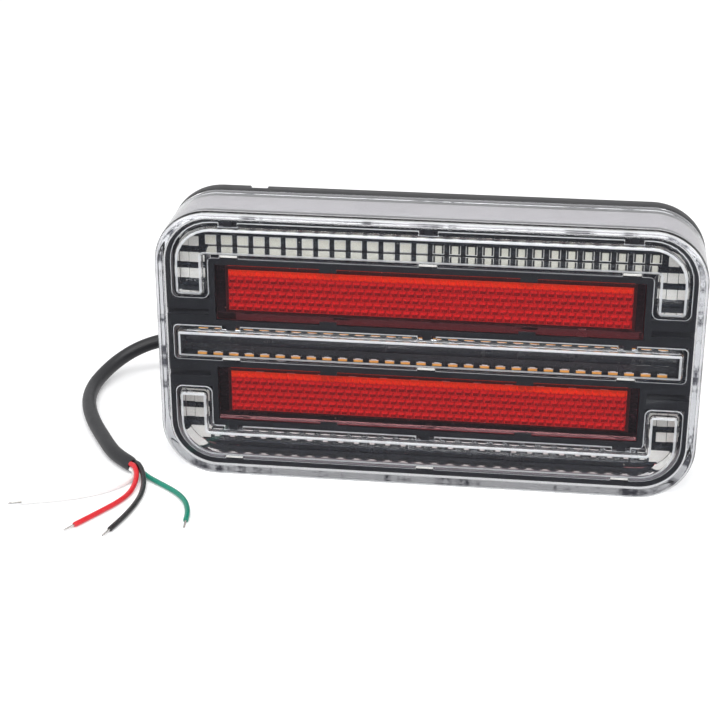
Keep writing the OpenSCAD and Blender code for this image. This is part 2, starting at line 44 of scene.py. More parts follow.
HALF_W, HALF_H, DEPTH, CORNER = 96.0, 51.0, 30.0, 20.0
SEAM = 5.8
COVER_WALL, COVER_INSIDE = 3.0, 27.5
GUIDE_FRONT, ARM_GUIDE_BACK, BAR_GUIDE_BACK = 27.3, 11.7, 6.6
LIP_BACK, BEZEL_BACK, BEZEL_FRONT, PLATE_FRONT = 22.3, 23.5, 25.5, 25.0
ARM_MID, FLANGE, RIDGE, LEG_MID, LEG_END = 39.2, 13.6, 10.0, 84.2, 17.1
GUIDE_MARGIN, LIP_REACH = 5.0, 0.5
PLATE_HALF_W, PLATE_LOW, PLATE_HIGH, PLATE_MID = 75.0, 9.2, 30.0, 19.6
PRISM_HALF_W, PRISM_H, PRISM_BACK, PRISM_W, PRISM_ROWS = 71.0, 15.2, 20.7, 2.95, 6
BOARD_FRONT, STRIP_FRONT = 5.6, 10.7
ARM_PITCH, ARM_COUNT, BAR_PITCH, BAR_COUNT, LAMP = 5.78, 28, 5.72, 30, 3.6
UPPER_SHIFT, LEG_PITCH = 3.0, 6.1
UPPER_LEG_TOP, LOWER_LEG_TOP, LEG_LAMPS = 35.4, 31.8, 3
STUD_X, GLAND_AT = 76.0, (-46, -20)

# ------------------------------------------------------------------ camera

camera = bpy.data.objects.new("camera", bpy.data.cameras.new("camera"))
bpy.context.scene.collection.objects.link(camera)
bpy.context.scene.camera = camera
camera.location = (0.04899, -0.6053, 0.2573)
camera.rotation_euler = Vector((-0.1136, 0.9058, -0.4082)).to_track_quat("-Z", "Y").to_euler()
camera.data.lens = 90
camera.data.sensor_width = 36
camera.data.clip_start = 0.01

# ------------------------------------------------------------------ meshes

# Steps round each corner of the cover, and of the pale glowing sheet at its foot
COVER_STEPS = 14


def build(name, bm, angle=32):
    """Finishes a bmesh drawn in mm as an object: outward faces, metres, smooth up to an angle."""
    bmesh.ops.remove_doubles(bm, verts=bm.verts, dist=1e-4)
    bmesh.ops.dissolve_degenerate(bm, edges=bm.edges, dist=1e-4)
    bmesh.ops.recalc_face_normals(bm, faces=bm.faces)
    bmesh.ops.scale(bm, vec=(MM, MM, MM), verts=bm.verts)
    mesh = bpy.data.meshes.new(name)
    bm.to_mesh(mesh)
    bm.free()
    mesh.shade_smooth()
    mesh.set_sharp_from_angle(angle=math.radians(angle))
    obj = bpy.data.objects.new(name, mesh)
    bpy.context.scene.collection.objects.link(obj)
    return obj


def place(obj, finish, slot, *nodes):
    """Gives a piece its finish or finishes, its body and the CAD nodes that it stands for."""
    indices = [polygon.material_index for polygon in obj.data.polygons]
    obj.data.materials.clear()
    for each in finish if isinstance(finish, tuple) else (finish,):
        obj.data.materials.append(each)
    if isinstance(finish, tuple):
        obj.data.polygons.foreach_set("material_index", indices)
    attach(obj, "root")
    if nodes:
        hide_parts(*nodes)
    return obj


def corner_ring(corners, inset, steps):
    """Points round a closed shape of (x, z, radius) corners, anticlockwise from the front,
    moved inwards. Every corner gives the same number of points at every inset."""
    n = len(corners)
    at = [Vector((c[0], c[1])) for c in corners]
    points = []
    for i in range(n):
        here = at[i]
        before = next(at[i - k] for k in range(1, n) if (at[i - k] - here).length > 1e-6)
        after = next(at[(i + k) % n] for k in range(1, n) if (at[(i + k) % n] - here).length > 1e-6)
        d0, d1 = (here - before).normalized(), (after - here).normalized()
        n0, n1 = Vector((-d0.y, d0.x)), Vector((-d1.y, d1.x))
        turn = d0.x * d1.y - d0.y * d1.x
        r = corners[i][2]
        if abs(turn) < 1e-6:
            points.extend([here + n0 * inset] * (steps + 1))
            continue
        miter = (n0 + n1) / (1 + n0.dot(n1))
        tip = here + miter * inset
        r = max(r - inset, 0) if turn > 0 else (r + inset if r > 0 or inset > 0 else 0)
        if r < 1e-6:
            points.extend([tip] * (steps + 1))
            continue
        side = 1 if turn > 0 else -1
        centre = tip + miter * r * side
        a0 = math.atan2(-n0.y * side, -n0.x * side)
        sweep = math.atan2(turn, d0.dot(d1))
        for k in range(steps + 1):
            a = a0 + sweep * k / steps
            points.append(centre + Vector((math.cos(a), math.sin(a))) * r)
    return points


def loft(rings, close_first=True, close_last=True, bm=None, second_finish=()):
    """Skins rings of (points, depth); depth counts forwards from the rear face. The strips that
    start at the rings numbered in second_finish take the piece's second finish."""
    bm = bm or bmesh.new()
    rows = [[bm.verts.new((p.x, -d, p.y)) for p in points] for points, d in rings]
    n = len(rows[0])
    for k, (a, b) in enumerate(zip(rows, rows[1:])):
        for i in range(n):
            j = (i + 1) % n
            bm.faces.new((a[i], a[j], b[j], b[i])).material_index = int(k in second_finish)
    if close_first:
        bm.faces.new(rows[0])
    if close_last:
        bm.faces.new(rows[-1])
    return bm


def fillet(corners, depth, r, steps, ring_steps, support):
    """Rings that round a front edge of radius r and then carry the face flat."""
    rings = []
    for k in range(steps + 1):
        a = math.pi / 2 * k / steps
        rings.append((corner_ring(corners, r * (1 - math.cos(a)), ring_steps),
                      depth - r * (1 - math.sin(a))))
    rings.append((corner_ring(corners, r + support, ring_steps), depth))
    return rings


def rectangle(half_w, half_h, r, mid=0.0):
    """Corners of a rectangle whose middle is at height mid."""
    return [(half_w, mid - half_h, r), (half_w, mid + half_h, r),
            (-half_w, mid + half_h, r), (-half_w, mid - half_h, r)]


def skin(bm, rows):
    """Joins rows of points, each a closed ring, and closes the first and the last."""
    n = len(rows[0])
    for a, b in zip(rows, rows[1:]):
        for i in range(n):
            j = (i + 1) % n
            bm.faces.new((a[i], a[j], b[j], b[i]))
    bm.faces.new(rows[0])
    bm.faces.new(rows[-1])
    return bm


def eased(node, width):
    """A copy of a CAD node with its sharp edges rounded."""
    bm = bmesh.new()
    bm.from_mesh(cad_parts[node].data)
    bmesh.ops.scale(bm, vec=(1 / MM,) * 3, verts=bm.verts)
    bmesh.ops.remove_doubles(bm, verts=bm.verts, dist=1e-3)
    bmesh.ops.dissolve_limit(bm, angle_limit=math.radians(1), verts=bm.verts, edges=bm.edges)
    sharp = [e for e in bm.edges
             if len(e.link_faces) == 2 and e.calc_face_angle(0) > math.radians(30)]
    bmesh.ops.bevel(bm, geom=sharp, offset=width, segments=2, profile=0.5,
                    clamp_overlap=True, affect="EDGES")
    return build(node + "_piece", bm, 35)


def lathe(profile, centre):
    """Turns a profile of (radius, y) about the Y axis through centre (x, z)."""
    bm = bmesh.new()
    steps = 48
    rows = []
    for r, y in profile:
        rows.append([bm.verts.new((centre[0] + r * math.cos(2 * math.pi * k / steps), y,
                                   centre[1] + r * math.sin(2 * math.pi * k / steps)))
                     for k in range(steps)])
    return skin(bm, rows)


def smooth_route(points):
    """Catmull-Rom points through a route, six to each stretch."""
    per = 6
    p = [Vector(q) for q in points]
    p = [p[0] * 2 - p[1]] + p + [p[-1] * 2 - p[-2]]
    out = []
    for i in range(1, len(p) - 2):
        a, b, c, d = p[i - 1:i + 3]
        for k in range(per):
            t = k / per
            out.append(0.5 * ((2 * b) + (c - a) * t + (2 * a - 5 * b + 4 * c - d) * t * t
                              + (3 * b - a - 3 * c + d) * t ** 3))
    out.append(p[-2])
    return out


def tube(route, radius, sides, bm=None):
    """Sweeps a round section along a route. radius is a function of the share of the route."""
    bm = bm or bmesh.new()
    n = len(route)
    rows = []
    side = None
    for i, here in enumerate(route):
        t = (route[min(i + 1, n - 1)] - route[max(i - 1, 0)]).normalized()
        if side is None:
            side = t.cross(Vector((0, 0, 1)))
        side = (side - t * side.dot(t)).normalized()
        up = side.cross(t)
        r = radius(i / (n - 1))
        rows.append([bm.verts.new(here + side * (r * math.cos(2 * math.pi * k / sides))
                                  + up * (r * math.sin(2 * math.pi * k / sides)))
                     for k in range(sides)])
    return skin(bm, rows)


# ------------------------------------------------------------------ shader maths


class Value:
    """A shader socket. Its operators add Math nodes."""

    def __init__(self, finish, socket):
        self.finish, self.socket = finish, socket

    def math(self, operation, *others):
        return self.finish.node("ShaderNodeMath", {"operation": operation},
                                dict(enumerate((self, *others))))

    def __add__(self, other):
        return self.math("ADD", other)

    def __sub__(self, other):
        return self.math("SUBTRACT", other)

    def __rsub__(self, other):
        return self.finish.node("ShaderNodeMath", {"operation": "SUBTRACT"}, {0: other, 1: self})

    def __mul__(self, other):
        return self.math("MULTIPLY", other)

    def __truediv__(self, other):
        return self.math("DIVIDE", other)

    __radd__, __rmul__ = __add__, __mul__

    def above(self, edge, soft=0.0):
        """1 where the value is over an edge, with a soft step if asked."""
        if soft:
            return ((self - (edge - soft / 2)) / soft).clamp()
        return self.math("GREATER_THAN", edge)

    def clamp(self):
        return self.finish.node("ShaderNodeClamp", {}, {"Value": self})

    def fraction(self):
        return self.math("FRACT")

    def size(self):
        return self.math("ABSOLUTE")


class Finish:
    """The nodes of one material, or of the world around the piece."""

    def __init__(self, name, made_in=bpy.data.materials):
        self.owner = made_in.new(name)
        self.owner.use_nodes = True
        self.tree = self.owner.node_tree
        self.tree.nodes.clear()

    def node(self, kind, settings=None, sockets=None, out=0):
        made = self.tree.nodes.new(kind)
        for key, value in (settings or {}).items():
            if key == "stops":
                ramp = made.color_ramp
                while len(ramp.elements) < len(value):
                    ramp.elements.new(0.5)
                for element, (at, colour) in zip(ramp.elements, value):
                    element.position, element.color = at, (*colour, 1)
            else:
                setattr(made, key, value)
        for key, value in (sockets or {}).items():
            socket = made.inputs[key]
            if isinstance(value, Value):
                self.tree.links.new(value.socket, socket)
            elif isinstance(value, (tuple, list)) and len(value) == 3 and socket.type == "RGBA":
                socket.default_value = (*value, 1)
            else:
                socket.default_value = value
        return None if out is None else Value(self, made.outputs[out])

    def where(self, scale=1.0, turn=(0, 0, 0)):
        """Object coordinates in mm, times a scale."""
        at = self.node("ShaderNodeTexCoord", out="Object")
        k = scale / MM
        return self.node("ShaderNodeMapping", {}, {"Vector": at, "Rotation": turn, "Scale": (k, k, k)})

    def axis(self, vector, letter):
        return self.node("ShaderNodeSeparateXYZ", {}, {0: vector}, out="XYZ".index(letter))

    def noise(self, vector, scale, detail, rough):
        return self.node("ShaderNodeTexNoise", {},
                         {"Vector": vector, "Scale": scale, "Detail": detail, "Roughness": rough})

    def cells(self, vector, scale):
        return self.node("ShaderNodeTexVoronoi", {"feature": "F1"},
                         {"Vector": vector, "Scale": scale}, out="Distance")

    def blend(self, share, a, b):
        return self.node("ShaderNodeMix", {"data_type": "RGBA"}, {0: share, 6: a, 7: b}, out=2)

    def bump(self, height, distance, strength):
        return self.node("ShaderNodeBump", {}, {"Height": height, "Distance": distance * MM,
                                                "Strength": strength})

    def surface(self, **sockets):
        """The Principled shader, by socket names with underscores."""
        return self.node("ShaderNodeBsdfPrincipled", {},
                         {key.replace("_", " "): value for key, value in sockets.items()})

    def done(self, shader, output="ShaderNodeOutputMaterial"):
        self.node(output, {}, {"Surface": shader}, out=None)
        return self.owner

    def lit_through(self, shader, tint):
        """Lets lamps light what lies behind clear mouldings."""
        shadow = self.node("ShaderNodeLightPath", out="Is Shadow Ray")
        clear = self.node("ShaderNodeBsdfTransparent", {}, {"Color": tint})
        return self.node("ShaderNodeMixShader", {}, {0: shadow, 1: shader, 2: clear})


def moulded_plastic(name, colour, worn, rough, grain, grain_scale, painted_glow=0.0):
    """Moulded plastic with a fine spark-eroded grain and faint handling marks, and, where asked, a painted
    glow in its own colour that stands in for light reaching it.
    """
    f = Finish(name)
    at = f.where()
    tone = f.noise(at, 0.09, 4.0, 0.6)
    pits = f.cells(at, grain_scale)
    rubbed = f.noise(at, 0.35, 6.0, 0.7)
    shade = f.blend((tone - 0.3).clamp() * 1.2, colour, worn)
    return f.done(f.surface(Base_Color=shade, Roughness=rough + (rubbed - 0.5) * 0.24, IOR=1.5,
                            Emission_Color=shade, Emission_Strength=painted_glow,
                            Normal=f.bump(pits, grain, 0.6)))


def clear_moulding(name, tint, rough=0.012, ripple=0.072, shadow=(0.94, 0.95, 0.96)):
    """Clear acrylic with the slow ripple and the few specks of a moulded face."""
    f = Finish(name)
    at = f.where()
    flow = f.noise(at, 0.16, 2.0, 0.4)
    smear = f.noise(f.where(0.4, (0.2, 0.4, 0.9)), 1.1, 5.0, 0.65)
    glass = f.surface(Base_Color=tint, Roughness=rough + (smear - 0.55).clamp() * 0.05, IOR=1.49,
                      Transmission_Weight=1.0, Normal=f.bump(flow, ripple, 0.25))
    return f.done(f.lit_through(glass, shadow))


def milky_painted_highlight(name, white, share):
    """The blasted radius of a clear moulding: milky, its white colour a painted highlight along the edge,
    and bright where light reaches it.
    """
    f = Finish(name)
    at = f.where()
    blast = f.noise(at, 5.0, 4.0, 0.6)
    drift = f.noise(at, 0.2, 3.0, 0.6)
    colour = f.blend(drift, (white, white, white), (white * 0.86, white * 0.87, white * 0.9))
    milky = f.surface(Base_Color=colour, Roughness=0.3 + (blast - 0.5) * 0.2, IOR=1.49,
                      Transmission_Weight=1 - share, Normal=f.bump(blast, 0.01, 0.4))
    return f.done(f.lit_through(milky, (0.85, 0.86, 0.88)))


def metal(name, colour, dark, rough):
    """Bare metal with fine streaks and slow stains."""
    f = Finish(name)
    at = f.where()
    streak = f.noise(at, 1.6, 6.0, 0.7)
    stain = f.noise(at, 0.3, 4.0, 0.6)
    return f.done(f.surface(Base_Color=f.blend((stain - 0.35).clamp() * 1.6, colour, dark),
                            Metallic=1.0, Roughness=rough + (streak - 0.5) * 0.25,
                            Normal=f.bump(streak, 0.01, 0.5)))


def insulation(name, colour, light):
    """Extruded PVC: glossy, with faint die lines and a soft bloom."""
    f = Finish(name)
    at = f.where()
    bloom = f.noise(at, 0.25, 4.0, 0.6)
    gloss = f.noise(at, 2.6, 5.0, 0.6)
    return f.done(f.surface(Base_Color=f.blend((bloom - 0.4).clamp() * 1.5, colour, light),
                            Roughness=0.28 + (gloss - 0.5) * 0.14, Coat_Weight=0.25,
                            Coat_Roughness=0.2, Normal=f.bump(gloss, 0.02, 0.5)))


def solder_mask():
    """Black board: fibre weave under the mask, copper runs and small via pads."""
    f = Finish("solder_mask")
    at = f.where()
    weave = f.node("ShaderNodeTexChecker", {}, {"Vector": at, "Scale": 2.2}, out="Fac")
    patch = f.noise(at, 0.12, 5.0, 0.7)
    runs = (f.axis(at, "Z") * 0.42 + (patch - 0.5) * 0.6).fraction()
    copper = (runs - 0.5).size().above(0.36, 0.04)
    vias = 1 - f.cells(at, 0.16).above(0.055, 0.012)
    colour = f.blend(copper, (0.010, 0.013, 0.020), (0.020, 0.026, 0.038))
    colour = f.blend(vias * 0.8, colour, (0.42, 0.40, 0.34))
    relief = copper * 0.7 + weave * 0.08
    return f.done(f.surface(Base_Color=colour, Roughness=0.26 + (patch - 0.5) * 0.2,
                            Normal=f.bump(relief, 0.05, 0.7)))


def lamp_gel(name, centre, edge, painted_glow):
    """Cast silicone over a lamp's die: grainy, with a darker colour mixed in by the grain, and a painted
    glow in its own colour that stands in for light reaching it.
    """
    f = Finish(name)
    at = f.where()
    grain = f.noise(at, 9.0, 4.0, 0.6)
    patch = f.noise(at, 0.7, 2.0, 0.5)
    colour = f.blend((grain - 0.3).clamp() * 1.4, centre, edge)
    return f.done(f.surface(Base_Color=colour, Roughness=0.35 + (patch - 0.5) * 0.1,
                            Emission_Color=colour, Emission_Strength=painted_glow,
                            Normal=f.bump(grain, 0.01, 0.6)))


def prism_red():
    """Back of a stop plate: rows of small half-bonded prisms, each with a painted reflection that makes it
    light at the edges and dark in the middle; the top of each field's top row is painted orange-bright as
    if lit from above, and the whole field has a painted glow. Length and height come in mm from the piece's
    own coordinates."""
    f = Finish("prism_red")
    at = f.where()
    x, z = f.axis(at, "X"), f.axis(at, "Z")
    row_h = PRISM_H / PRISM_ROWS
    height = z.size() - PLATE_MID
    row = (height + PRISM_H / 2) / row_h
    line = row.math("FLOOR")
    across = (x / PRISM_W + line * 0.5).fraction() - 0.5
    along = row.fraction() - 0.5
    # Painted reflection: each prism's rim is painted light red and its middle dark red.
    rim = across.size().math("MAXIMUM", along.size() * 1.7).above(0.34, 0.10)
    drift = f.noise(at, 0.05, 3.0, 0.6)
    speck = f.noise(at, 3.0, 4.0, 0.6)
    deep = f.blend((drift - 0.35).clamp() * 2.2, (0.16, 0.012, 0.014), (0.34, 0.016, 0.016))
    bright = f.blend((speck - 0.3).clamp() * 1.5, (0.62, 0.060, 0.062), (0.46, 0.030, 0.034))
    colour = f.blend(rim, deep, bright)
    seams = (x / PRISM_W * 2).fraction().above(0.78, 0.1) * 0.35
    colour = f.blend(seams, colour, (0.30, 0.012, 0.014))
    # Painted light: the top of each field's top row is painted orange-bright, as if lit from above.
    upper = (height * (z.above(0.0, 0.01) * 2 - 1)).above(PRISM_H / 2 - row_h * 0.7, 0.5)
    colour = f.blend(upper * (0.5 + drift * 0.6), colour, (1.0, 0.15, 0.02))
    # Painted glow: the field glows faintly in its own colours.
    return f.done(f.surface(Base_Color=colour, Roughness=0.3 + (speck - 0.5) * 0.2,
                            Emission_Color=colour, Emission_Strength=0.25,
                            Normal=f.bump(1 - rim, 0.25, 0.8)))


def rim_glow_white():
    """Pale film: chalky, with darker patches, and a painted glow in its own colour."""
    f = Finish("rim_glow_white")
    at = f.where()
    run = f.noise(at, 0.10, 4.0, 0.7)
    chalk = f.noise(at, 2.0, 5.0, 0.6)
    colour = f.blend(run.above(0.56, 0.10), (0.78, 0.78, 0.80), (0.10, 0.10, 0.12))
    return f.done(f.surface(Base_Color=colour, Roughness=0.5 + (chalk - 0.5) * 0.3,
                            Emission_Color=colour, Emission_Strength=0.28,
                            Normal=f.bump(chalk, 0.03, 0.6)))


def floor_paper():
    f = Finish("floor_paper")
    at = f.where()
    fibre = f.noise(at, 0.6, 5.0, 0.6)
    colour = f.blend(fibre, (0.95, 0.95, 0.95), (0.98, 0.98, 0.98))
    return f.done(f.surface(Base_Color=colour, Roughness=0.8, Emission_Color=(1, 1, 1),
                            Emission_Strength=0.12, Normal=f.bump(fibre, 0.02, 0.2)))


CLEAR_COVER = clear_moulding("clear_cover", (0.985, 0.99, 0.995))
CLEAR_GUIDE = clear_moulding("clear_guide", (0.985, 0.99, 1.0), ripple=0.048)
RED_PLATE = clear_moulding("red_plate", (0.95, 0.42, 0.44), 0.02, 0.04, (0.95, 0.45, 0.45))
# Milky radii whose white colour is a painted highlight along the front edges of the guides and the cover.
GUIDE_EDGE_HIGHLIGHT = milky_painted_highlight("guide_edge_highlight", 0.95, 0.65)
COVER_EDGE_HIGHLIGHT = milky_painted_highlight("cover_edge", 0.90, 0.45)
HOUSING = moulded_plastic("housing_black", (0.018, 0.018, 0.020), (0.030, 0.030, 0.032), 0.46, 0.03, 3.0)
BEZEL = moulded_plastic("bezel_grey", (0.014, 0.0145, 0.018), (0.024, 0.025, 0.029), 0.36, 0.012, 5.0)
SPACER = moulded_plastic("spacer_pale", (0.27, 0.255, 0.27), (0.34, 0.325, 0.34), 0.5, 0.02, 4.0)
PAN = moulded_plastic("pan_white", (0.055, 0.045, 0.048), (0.085, 0.07, 0.075), 0.35, 0.01, 6.0)
SEALANT = moulded_plastic("sealant", (0.022, 0.022, 0.024), (0.045, 0.045, 0.047), 0.35, 0.06, 1.2)
RUBBER = moulded_plastic("gland_rubber", (0.012, 0.012, 0.013), (0.026, 0.026, 0.027), 0.55, 0.03, 4.0)
JACKET_SKIN = moulded_plastic("jacket_black", (0.012, 0.012, 0.014), (0.022, 0.022, 0.025), 0.42, 0.02, 4.0)
BOARD = solder_mask()
STEEL = metal("stud_steel", (0.70, 0.70, 0.69), (0.52, 0.51, 0.50), 0.28)
TINNED = metal("tinned_metal", (0.74, 0.73, 0.70), (0.55, 0.53, 0.50), 0.25)
CAN = metal("capacitor_can", (0.70, 0.72, 0.75), (0.55, 0.57, 0.60), 0.3)
# Lamps and reflector pads carry a painted glow of 0.25 that brightens them where the clear mouldings leave
# them dim.
LAMP_WHITE = moulded_plastic("lamp_white", (0.80, 0.79, 0.76), (0.86, 0.85, 0.83), 0.4, 0.01, 8.0, 0.25)
PAD_WHITE = moulded_plastic("pad_white", (0.78, 0.76, 0.71), (0.86, 0.84, 0.80), 0.35, 0.01, 8.0, 0.25)
# Gels carry painted glows of 0.3, 0.45 and 0.22 that brighten them where the clear mouldings leave them
# dim.
GEL_CREAM = lamp_gel("gel_cream", (0.80, 0.78, 0.68), (0.68, 0.66, 0.56), 0.3)
GEL_AMBER = lamp_gel("gel_amber", (0.92, 0.46, 0.10), (0.80, 0.32, 0.05), 0.45)
GEL_RED = lamp_gel("gel_red", (0.70, 0.16, 0.10), (0.50, 0.08, 0.05), 0.22)
CHIP = moulded_plastic("chip_black", (0.016, 0.016, 0.017), (0.026, 0.026, 0.027), 0.5, 0.02, 7.0)
PRISM = prism_red()
RED_SIDE = moulded_plastic("red_side", (0.20, 0.006, 0.010), (0.26, 0.010, 0.014), 0.4, 0.01, 8.0)
WHITE_SKIN = insulation("wire_white", (0.80, 0.80, 0.79), (0.86, 0.86, 0.85))
RED_SKIN = insulation("wire_red", (0.62, 0.008, 0.016), (0.72, 0.02, 0.03))
BLACK_SKIN = insulation("wire_black", (0.012, 0.012, 0.013), (0.03, 0.03, 0.032))
GREEN_SKIN = insulation("wire_green", (0.0, 0.20, 0.13), (0.0, 0.27, 0.18))

# ------------------------------------------------------------------ cable

JACKET_ROUTE = [(-46, 14, -20), (-46, 25, -20), (-48, 36, -21.3), (-54, 46, -24), (-64, 54, -27),
                (-76, 59, -30.5), (-90, 61, -33.5), (-104, 61.5, -36), (-118, 59.5, -38.5),
                (-126.3, 56.3, -41), (-132.8, 51, -44), (-137.2, 42.5, -46.5), (-139, 32, -48),
                (-137, 18.5, -48.2), (-131.5, 4, -48.2), (-123.5, -11, -48.2),
                (-116, -23, -48.2), (-107, -32, -48.2)]
WIRES = {
    "white": ([(-107.7, -32.7, -49.2), (-106, -34.4, -49.2), (-105.6, -38, -49.8),
               (-107.6, -42.6, -50), (-112, -48, -50), (-118, -52.4, -50), (-124.5, -55.7, -50),
               (-132.5, -58.6, -50), (-140.5, -61, -50)], WHITE_SKIN),
    "red": ([(-107.7, -32.7, -47.2), (-105.9, -34.5, -47.2), (-104.1, -38.6, -48.2),
             (-103.6, -44.4, -49.4), (-104.4, -50.5, -50), (-106.8, -57, -50),
             (-110.6, -63.6, -50), (-114.2, -69.4, -50), (-117.6, -74.8, -50)], RED_SKIN),
    "black": ([(-106.3, -31.3, -47.2), (-104.3, -33.3, -47.2), (-102, -37.6, -48.3),
               (-100.4, -43.4, -49.4), (-99.8, -50, -50), (-100.2, -57.4, -50),
               (-101.4, -64.6, -50), (-103, -71, -50), (-104.6, -76.4, -50)], BLACK_SKIN),
    "green": ([(-106.3, -31.3, -49.2), (-104.2, -33.4, -49.2), (-100.6, -36.6, -49.8),
               (-96, -40.2, -50), (-91.4, -43.8, -50), (-87, -47.8, -50), (-83.4, -52.6, -50),
               (-81.2, -58, -50), (-80.2, -62.6, -50), (-79.8, -67, -50)], GREEN_SKIN),
}


def length_of(route):
    """Length in metres of a route in mm."""
    return sum((b - a).length for a, b in zip(route, route[1:])) * MM


def metres(route):
    return [p * MM for p in route]


def cable_gland():
    """Ribbed rubber gland that narrows onto the cable."""
    profile = [(4.0, -2.4), (4.0, 0.0), (6.3, 0.0), (6.5, 0.2), (6.5, 2.2), (6.3, 2.5), (5.0, 2.6)]
    ribs, first_y, pitch, first_r, narrowing = 3, 3.3, 3.0, 4.9, 0.45
    for i in range(ribs):
        r, y = first_r - narrowing * i, first_y + pitch * i
        profile += [(r, y), (r - 0.1, y + 1.0), (r - 0.9, y + 1.2), (r - 0.95, y + 1.9),
                    (r - 0.3, y + 2.1)]
    profile += [(3.55, 12.8), (3.45, 13.7), (3.2, 14.0)]
    return build("gland_sleeve", lathe(profile, GLAND_AT), 40)


gland = place(cable_gland(), RUBBER, "gland_rubber", "cable_gland")


def rounded_end(r, drop, reach, last):
    """A tube's radius that falls by drop over its last few points."""
    return lambda share: r - drop * max(0.0, 1 - (last - share * last) / reach) ** 2


def cable_jacket():
    """The cable's sheath, and the route that it follows."""
    route = smooth_route(JACKET_ROUTE)
    radius = rounded_end(2.75, 0.45, 1.5, len(route) - 1)
    return build("cable_sheath", tube(route, radius, 28), 60), route


sheath, sheath_route = cable_jacket()
place(sheath, JACKET_SKIN, "jacket_black", "cable_jacket")
sheath_route[0] * MM
length_of(sheath_route)
metres(sheath_route)


def bare_strands(name, end, along):
    """Seven twisted, tinned strands beyond the end of a wire."""
    bare, tucked_in, lay_r, strand_r, points = 5.0, 0.2, 0.27, 0.135, 15
    bm = bmesh.new()
    side = along.cross(Vector((0, 0, 1))).normalized()
    up = side.cross(along)
    for s in range(7):
        ring_r = lay_r if s else 0.0
        route = []
        for k in range(points):
            t = k / (points - 1)
            a = 2 * math.pi * (s / 6 + 1.1 * t)
            close = 1 - 0.35 * t * t
            around = (side * math.cos(a) + up * math.sin(a)) * ring_r * close
            route.append(end + along * (bare * t - tucked_in) + around)
        tube(route, lambda share: strand_r * (1 - 0.5 * max(0, share - 0.9) * 10), 8, bm)
    return build(name, bm, 60)


for colour, (points, insulated) in WIRES.items():
    route = smooth_route(points)
    radius = rounded_end(0.95, 0.12, 1, len(route) - 1)
    wire = build(colour + "_core", tube(route, radius, 20), 60)
    place(wire, insulated, "wire_" + colour, colour + "_wire")
    along = (route[-1] - route[-2]).normalized()
    strands = bare_strands(colour + "_strands", route[-1], along)
    place(strands, TINNED, "tinned_metal", "bare_ends")
    route[0] * MM
    length_of(route)
    metres(route)

# ------------------------------------------------------------------ clear mouldings


def outline(inset=0.0):
    """Corners of the light's outline, moved inwards."""
    return rectangle(HALF_W - inset, HALF_H - inset, CORNER - inset)


def front_cover():
    """Hollow clear shell with a rounded front edge, and a groove round its wall near the rim."""
    wide, hollow = outline(), outline(COVER_WALL)
    bevel, groove, groove_at = 0.35, 0.25, 9.65
    rings = fillet(hollow, COVER_INSIDE, 0.8, 5, COVER_STEPS, 0.2)[::-1]
    section = ((hollow, 0.0, SEAM), (wide, bevel, SEAM), (wide, 0.0, SEAM + bevel),
               (wide, 0.0, groove_at - groove), (wide, groove, groove_at),
               (wide, 0.0, groove_at + groove))
    rings += [(corner_ring(corners, inset, COVER_STEPS), d) for corners, inset, d in section]
    edge = len(rings)
    rings += fillet(wide, DEPTH, 2.0, 8, COVER_STEPS, 0.25)
    # Two strips of the front radius, numbered in second_finish, take the milky finish: a painted highlight
    # along the rim.
    return build("cover_shell", loft(rings, second_finish=(edge + 4, edge + 5)), 34)


# Places along the guides, and half widths, of the notches in their flanges
NOTCHES = [(-70.0, 3.25), (0.0, 3.25), (70.0, 3.25)]


def c_corners(out_x, out_z, width, end_z, r_out, r_in, r_end, ridge_gap):
    """Corners of a C-shaped strip round the upper half. The notches reach ridge_gap into both
    long sides of its arm."""
    in_x, in_z = out_x - width, out_z - width
    corners = [(out_x, end_z, r_end), (out_x, out_z, r_out)]
    for x, half in NOTCHES[::-1]:
        corners += [(x + half, out_z, 0), (x + half, out_z - ridge_gap, 0),
                    (x - half, out_z - ridge_gap, 0), (x - half, out_z, 0)]
    corners += [(-out_x, out_z, r_out), (-out_x, end_z, r_end), (-in_x, end_z, r_end),
                (-in_x, in_z, r_in)]
    for x, half in NOTCHES:
        corners += [(x - half, in_z, 0), (x - half, in_z + ridge_gap, 0),
                    (x + half, in_z + ridge_gap, 0), (x + half, in_z, 0)]
    corners += [(in_x, in_z, r_in), (in_x, end_z, r_end)]
    return corners


def bar_corners(half_w, half_h, r, ridge_gap):
    """Corners of a straight strip, with the same notches as the arms."""
    corners = [(half_w, -half_h, r), (half_w, half_h, r)]
    for x, half in NOTCHES[::-1]:
        corners += [(x + half, half_h, 0), (x + half, half_h - ridge_gap, 0),
                    (x - half, half_h - ridge_gap, 0), (x - half, half_h, 0)]
    corners += [(-half_w, half_h, r), (-half_w, -half_h, r)]
    for x, half in NOTCHES:
        corners += [(x - half, -half_h, 0), (x - half, -half_h + ridge_gap, 0),
                    (x + half, -half_h + ridge_gap, 0), (x + half, -half_h, 0)]
    return corners


def guide(name, ridge, flange, lip, back):
    """One clear light guide: ridge, lip behind the bezel, notched flange, rounded front."""
    steps = 8
    section = ((ridge, 0.25, back), (ridge, 0.0, back + 0.25), (ridge, 0.0, LIP_BACK),
               (lip, 0.0, LIP_BACK), (lip, 0.0, BEZEL_BACK), (flange, 0.0, BEZEL_BACK),
               (flange, 0.0, BEZEL_FRONT - 0.3), (flange, 0.12, BEZEL_FRONT - 0.08),
               (flange, 0.35, BEZEL_FRONT), (ridge, -0.5, BEZEL_FRONT),
               (ridge, -0.15, BEZEL_FRONT + 0.15), (ridge, 0.0, BEZEL_FRONT + 0.5))
    rings = [(corner_ring(corners, inset, steps), d) for corners, inset, d in section]
    edge = len(rings)
    rings += fillet(ridge, GUIDE_FRONT, 1.2, 6, steps, 0.2)
    # The flange's front edge and three strips of the front radius take the milky finish: a painted
    # highlight along the edges.
    return build(name, loft(rings, second_finish=(6, 7, *range(edge + 3, edge + 6))), 34)


